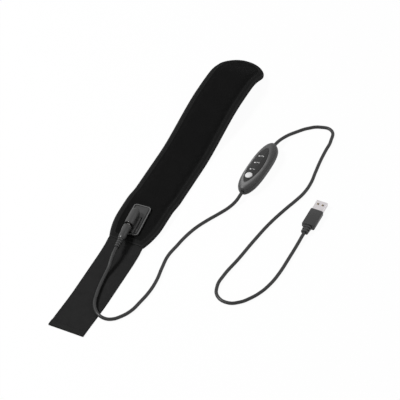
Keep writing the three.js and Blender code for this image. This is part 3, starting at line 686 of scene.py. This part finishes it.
# Stitches
def faces_towards(piece, direction):
    """Selects the faces that look that way, and goes into edit mode."""
    bpy.ops.object.mode_set(mode="EDIT")
    bpy.ops.mesh.select_mode(type="FACE")
    bpy.ops.mesh.select_all(action="DESELECT")
    bpy.ops.object.mode_set(mode="OBJECT")
    for face in piece.data.polygons:
        face.select = face.normal.dot(Vector(direction)) > 0.9
    bpy.ops.object.mode_set(mode="EDIT")


def make_stitch():
    """One stitch: a short thread along X whose two ends dip into the cloth."""
    bpy.ops.mesh.primitive_cylinder_add(
        vertices=6, radius=thread_radius * MM, depth=stitch_straight * MM, rotation=(0, math.pi / 2, 0),
    )
    stitch = bpy.context.object
    bpy.ops.object.transform_apply(location=True, rotation=True, scale=True)
    for end in (-1, 1):
        faces_towards(stitch, (end, 0, 0))
        for reach, drop, size in ((0.35, -0.1, 0.9), (0.25, -0.25, 0.7)):
            bpy.ops.mesh.extrude_region_move(
                TRANSFORM_OT_translate={"value": (end * reach * MM, 0, drop * MM)},
            )
            bpy.ops.transform.resize(value=(1, size, size))
        bpy.ops.object.mode_set(mode="OBJECT")
    bpy.ops.object.shade_smooth_by_angle(angle=math.radians(60))
    return stitch


def walk(points, pitch):
    """Places a pitch apart along a line of flat points: the middle of each, and its direction."""
    left = pitch / 2
    for start, end in zip(points, points[1:]):
        step = Vector(end) - Vector(start)
        while left <= step.length:
            yield Vector(start) + step * (left / step.length), step.normalized()
            left += pitch
        left -= step.length


def sew(name, lines):
    """Rows of stitches, joined into one piece. A line is its flat points, its height and its side."""
    pattern = make_stitch()
    threads = []
    for points, height, side in lines:
        for middle, towards in walk(points, stitch_pitch):
            ends = [middle + towards * reach for reach in (-0.5, 0.5)]
            tail, head = (laid(end.x, end.y, height(end.x, end.y)) for end in ends)
            forward = (head - tail).normalized()
            across = Vector((0, 0, side)).cross(forward).normalized()
            lie = Matrix((forward, across, forward.cross(across))).transposed().to_4x4()
            lie.translation = (tail + head) / 2
            thread = pattern.copy()
            thread.data = pattern.data.copy()
            thread.data.transform(lie)
            scene.collection.objects.link(thread)
            threads.append(thread)
    bpy.data.objects.remove(pattern)
    only(*threads)
    bpy.ops.object.join()
    threads[0].name = name
    return dress(threads[0], black_thread)


def border_line():
    """The stitching inside the band's outline, all the way round, and twice over the sewn end."""
    count = 400
    side = [side_point(i / count, stitch_inset) for i in range(count + 1)]
    tip = [plan_point(1, 1 - i / 20, stitch_inset) for i in range(1, 40)]
    back = [(x, -y) for x, y in reversed(side)]
    corner_x, corner_y = side[0]
    return side + tip + back + [(corner_x, share * corner_y) for share in (0.9, -0.9)]


def stitched_top(x, y):
    return wadded_height(x, y) + tape_rise - channel_depth + thread_radius * 0.6


def stitched_back(x, y):
    return back_channel_depth - thread_radius * 0.5


def stitched_strap(x, y):
    return strap_top(x, y) + thread_radius * 0.5


border = border_line()
strap_seam_y = strap_width / 2 - strap_seam_inset
strap_sides = [
    [(strap_end + strap_hem, y), (band_end, y)] for y in (-strap_seam_y, strap_seam_y)
]
hem_line = [(hem_seam_x, -strap_width / 2 + 1), (hem_seam_x, strap_width / 2 - 1)]
sew("band_stitching", [(border, stitched_top, 1), (border, stitched_back, -1)])
sew("strap_stitching", [
    (line, stitched_strap, 1) for line in (*strap_sides, hem_line)
])


# Cords
def cord(name, points):
    bpy.ops.curve.primitive_bezier_curve_add()
    piece = bpy.context.object
    piece.name = name
    curve = piece.data
    curve.splines.clear()
    spline = curve.splines.new("BEZIER")
    spline.bezier_points.add(len(points) - 1)
    for point, place in zip(spline.bezier_points, points):
        point.co = place
        point.handle_left_type = point.handle_right_type = "AUTO"
    curve.dimensions = "3D"
    curve.resolution_u = 10
    curve.bevel_depth = cord_diameter / 2 * 1.02  # its flats then average the real diameter
    curve.bevel_resolution = 5
    curve.use_fill_caps = True
    return dress(piece, cord_jacket)


lead_route = [
    (-0.09799, 0.00243, 0.01177), (-0.10893, 0.00166, 0.01087), (-0.11800, 0.00060, 0.00830),
    (-0.12600, -0.00060, 0.00560), (-0.13500, -0.00100, 0.00375), (-0.14800, -0.00250, 0.00345),
    (-0.16050, -0.00490, 0.00345), (-0.17290, -0.00850, 0.00345), (-0.18030, -0.01330, 0.00345),
    (-0.18530, -0.01990, 0.00340), (-0.18580, -0.02740, 0.00240), (-0.18290, -0.03340, 0.00200),
    (-0.17800, -0.03800, 0.00190), (-0.16590, -0.04460, 0.00190), (-0.15060, -0.04780, 0.00190),
    (-0.13460, -0.04990, 0.00190), (-0.11790, -0.04970, 0.00190), (-0.10040, -0.04720, 0.00190),
    (-0.08300, -0.04550, 0.00190), (-0.06650, -0.04750, 0.00190), (-0.05020, -0.05010, 0.00190),
    (-0.03480, -0.05430, 0.00190), (-0.02060, -0.06030, 0.00190), (-0.00690, -0.06710, 0.00190),
    (0.00550, -0.07270, 0.00220), (0.01450, -0.07580, 0.00380), (0.02452, -0.07686, 0.00538),
    (0.03052, -0.07701, 0.00551), (0.03951, -0.07728, 0.00555),
]
supply_route = [
    (0.09149, -0.07880, 0.00582), (0.10048, -0.07906, 0.00587), (0.10648, -0.07925, 0.00580),
    (0.12350, -0.08320, 0.00360), (0.13720, -0.09060, 0.00190), (0.14700, -0.09910, 0.00190),
    (0.15390, -0.10960, 0.00190), (0.15430, -0.12240, 0.00190), (0.13950, -0.12820, 0.00190),
    (0.12280, -0.12910, 0.00190), (0.10650, -0.13020, 0.00190), (0.08980, -0.13210, 0.00190),
    (0.07310, -0.13410, 0.00190), (0.05760, -0.13350, 0.00190), (0.04340, -0.13030, 0.00190),
    (0.02950, -0.12620, 0.00190), (0.00170, -0.11930, 0.00190), (-0.02710, -0.11480, 0.00190),
    (-0.05620, -0.11130, 0.00190), (-0.08440, -0.10720, 0.00190), (-0.09910, -0.10740, 0.00190),
    (-0.11230, -0.11400, 0.00190), (-0.11560, -0.12640, 0.00190), (-0.11000, -0.13650, 0.00190),
    (-0.10050, -0.14400, 0.00190), (-0.08920, -0.14980, 0.00190), (-0.07620, -0.15370, 0.00190),
    (-0.06200, -0.15580, 0.00190), (-0.03210, -0.15660, 0.00190), (-0.01400, -0.15680, 0.00250),
    (-0.00050, -0.15680, 0.00340), (0.00750, -0.15680, 0.00350),
]
lead_cord = cord("lead_flex", lead_route)
supply_cord = cord("supply_flex", supply_route)
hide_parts("lead_cord")
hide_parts("supply_cord")


# Moulded pieces
def turned(degrees, axis):
    return Matrix.Rotation(math.radians(degrees), 3, axis)


slope_under_jack = math.degrees(math.atan2(jack_slope["height"], jack_slope["end"] - jack_slope["start"]))
jack_seat = laid(jack_middle, jack_aside, crown_height + seam_gap)
jack_frame = turned(-slope_under_jack, "Y") @ turned(jack_turn, "Z")
controller_frame = turned(-controller_lean, "X") @ turned(controller_turn, "Z")


def jack_skin():
    """Soft plastic, with painted shade darkening the groove round the plate and a painted highlight on the
    lip outside it.
    """
    finish = Finish("jack_grey", 0.4, gloss=0.45)
    place = finish.vector("ABSOLUTE", finish.seated(jack_seat, jack_frame))
    core = (plate_length / 2 - plate_corner) * MM, (plate_width / 2 - plate_corner) * MM, 0
    beyond = finish.vector("MAXIMUM", finish.vector("SUBTRACT", place, core))
    beyond = finish.vector("MULTIPLY", beyond, (1, 1, 0))
    reach = finish.vector("LENGTH", beyond, output="Value") * (1 / MM) - plate_corner
    painted_lip_highlight = finish.spread(reach, -lip_inset - lip_fade, -lip_inset)
    painted_groove_shade = finish.spread(reach, -groove_inset - lip_fade, -groove_inset) - painted_lip_highlight
    flow = plastic_grain(finish)[1]
    plain = finish.blend(flow, grey(39), grey(48))
    # painted shade grey(11) in the groove and painted highlight grey(88) on the lip, standing in for how
    # the light falls on them
    finish.colour(finish.blend(painted_lip_highlight, finish.blend(painted_groove_shade, plain, grey(11)), grey(88)))
    finish.rough(finish.spread(flow, 0.3, 0.7, 0.33, 0.48))
    return finish.material


def shell_skin():
    """Hard satin plastic, with a painted highlight along the raised rim of the label, standing in for the
    light that the crease catches.
    """
    finish = Finish("controller_grey", 0.48, gloss=0.3)
    middle = finish.seated(controller_place, controller_frame)
    place = finish.vector("SUBTRACT", middle, (label_shift * MM, 0, 0))
    along = finish.part(place, "X") * (2 / (label_length * MM))
    across = finish.part(finish.vector("ABSOLUTE", place), "Y") * (2 / (label_width * MM))
    outline = along * along + across.raised(2 / label_point)
    painted_rim_highlight = finish.spread(outline, 1.0, 1.15) - finish.spread(outline, 1.3, 1.75)
    faded = 1 - finish.spread(along, 0.15, 0.9, 0, 0.75)
    flow = plastic_grain(finish)[1]
    highlight_breakup = finish.noise(finish.here, 0.005, 3)
    plain = finish.blend(flow, grey(58), grey(68))
    # painted highlight grey(118) along the label's rim, broken up by noise and fading towards its ends
    finish.colour(finish.blend(painted_rim_highlight * faded * finish.spread(highlight_breakup, 0.3, 0.5, 0.6, 1), plain, grey(118)))
    finish.rough(finish.spread(flow, 0.3, 0.7, 0.42, 0.55))
    return finish.material


jack_grey = jack_skin()
shell_grey = shell_skin()


def refined(node, name, material, body="strip", edge=0.2, angle=30):
    """A finer copy of a CAD node, with its sharp edges rounded."""
    source = frame["nodes"][node]
    piece = source.copy()
    piece.data = source.data.copy()
    scene.collection.objects.link(piece)
    piece.parent = None
    piece.name = name
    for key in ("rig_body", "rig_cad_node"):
        del piece[key]
    only(piece)
    bpy.ops.object.mode_set(mode="EDIT")
    bpy.ops.mesh.select_all(action="SELECT")
    bpy.ops.mesh.remove_doubles(threshold=2e-6)
    bpy.ops.mesh.dissolve_limited(angle_limit=math.radians(0.5))
    bpy.ops.object.mode_set(mode="OBJECT")
    if edge:
        bevel = piece.modifiers.new("edges", "BEVEL")
        bevel.width = edge * MM
        bevel.segments = 2
        bevel.limit_method = "ANGLE"
        bevel.angle_limit = math.radians(angle)
        bpy.ops.object.modifier_apply(modifier="edges")
    bpy.ops.object.shade_smooth_by_angle(angle=math.radians(angle))
    dress(piece, material, body)
    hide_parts(node)
    return piece


jack_moulding = refined("jack_housing", "jack_moulding", jack_grey, edge=0.25)
barrel_plug = refined("plug_moulding", "barrel_plug", plug_grey, edge=0.2)
upper_shell = refined("controller_cover", "upper_shell", shell_grey, edge=0.2)
lower_shell = refined("controller_base", "lower_shell", shell_grey, edge=0.15)
label_panel = refined("controller_label", "label_panel", label_grey, edge=0)
push_button = refined("power_button", "push_button", button_grey, body="button", edge=0.1)
usb_moulding = refined("usb_grip", "usb_moulding", plug_grey, edge=0.2)
level_lights = [
    refined(f"level_led_{i}", f"level_light_{i}", lens_pale, edge=0) for i in (1, 2, 3)
]


# Numbers beside the level lights
def cover_top(x, y):
    """Height of the controller's outside over its sole, in its own frame."""
    reach = abs(x) / (controller_length / 2 + 0.5)
    plan = (1 - reach ** controller_fullness) ** (1 / controller_fullness)
    rise = (controller_height - parting_height) * (cover_nose + (1 - cover_nose) * plan)
    across = 1 - (abs(y) / (controller_width / 2 * plan)) ** (2 / cover_roundness)
    return parting_height + rise * across ** (cover_roundness / 2)


def print_numbers():
    numbers = []
    for i, x in enumerate(light_places):
        bpy.ops.object.text_add()
        text = bpy.context.object
        text.data.body = str(i + 1)
        text.data.size = number_height * 1.4  # of which a figure takes up about 0.7
        text.data.align_x = "CENTER"
        text.data.extrude = ink_thickness / 2
        bpy.ops.object.convert(target="MESH")
        for vertex in text.data.vertices:
            across = number_y + vertex.co.y
            along = x + vertex.co.x
            ink = ink_thickness if vertex.co.z > 0 else -ink_thickness
            place = Vector((along, across, cover_top(along, across) + ink)) * MM
            vertex.co = controller_place + controller_frame @ place
        numbers.append(text)
    only(*numbers)
    bpy.ops.object.join()
    numbers[0].name = "level_numbers"
    return dress(numbers[0], print_white)


level_numbers = print_numbers()

for node, material in {
    "heater_film": film_amber,
    "jack_socket": hard_black,
    "jack_pin": brass,
    "jack_tab_left": brass,
    "jack_tab_right": brass,
    "plug_barrel": bright_nickel,
    "plug_insulator": hard_black,
    "plug_inner_contact": brass,
    "circuit_board": board_green,
    "tact_switch": hard_black,
    "cord_stopper_in": hard_black,
    "cord_stopper_out": hard_black,
    "usb_shell": plated,
    "usb_tongue": tongue_white,
    "usb_contact_1": brass,
    "usb_contact_2": brass,
    "usb_contact_3": brass,
    "usb_contact_4": brass,
}.items():
    frame["nodes"][node].data.materials.clear()
    frame["nodes"][node].data.materials.append(material)


# Table, light and white background
def lay_table():
    bpy.ops.mesh.primitive_plane_add(size=6)
    table = bpy.context.object
    table.name = "table"
    paper = Finish("pale_paper", 0.9, gloss=0.1)
    paper.colour((0.9, 0.9, 0.9, 1))
    shown = paper.white_to_camera(paper.shader.outputs[0], 0.96)
    paper.feed(paper.tree.nodes["Material Output"].inputs["Surface"], shown)
    table.data.materials.append(paper.material)


def surround(strength):
    world = bpy.data.worlds.new("studio")
    scene.world = world
    world.use_nodes = True
    network = Network(world.node_tree)
    background = world.node_tree.nodes["Background"]
    background.inputs["Color"].default_value = (1, 1, 1, 1)
    background.inputs["Strength"].default_value = strength
    shown = network.white_to_camera(background.outputs[0], 1.0)
    network.feed(world.node_tree.nodes["World Output"].inputs["Surface"], shown)


def softbox(place, size, power):
    bpy.ops.object.light_add(type="AREA", location=place)
    lamp = bpy.context.object
    lamp.data.shape = "SQUARE"
    lamp.data.size = size
    lamp.data.energy = power
    lamp.rotation_euler = (view_target - Vector(place)).to_track_quat("-Z", "Y").to_euler()


place_camera()
lay_table()
surround(strength=0.24)
softbox(place=(-0.55, 1.1, 1.5), size=0.45, power=35)
softbox(place=(0.9, -1.3, 1.3), size=0.8, power=4)
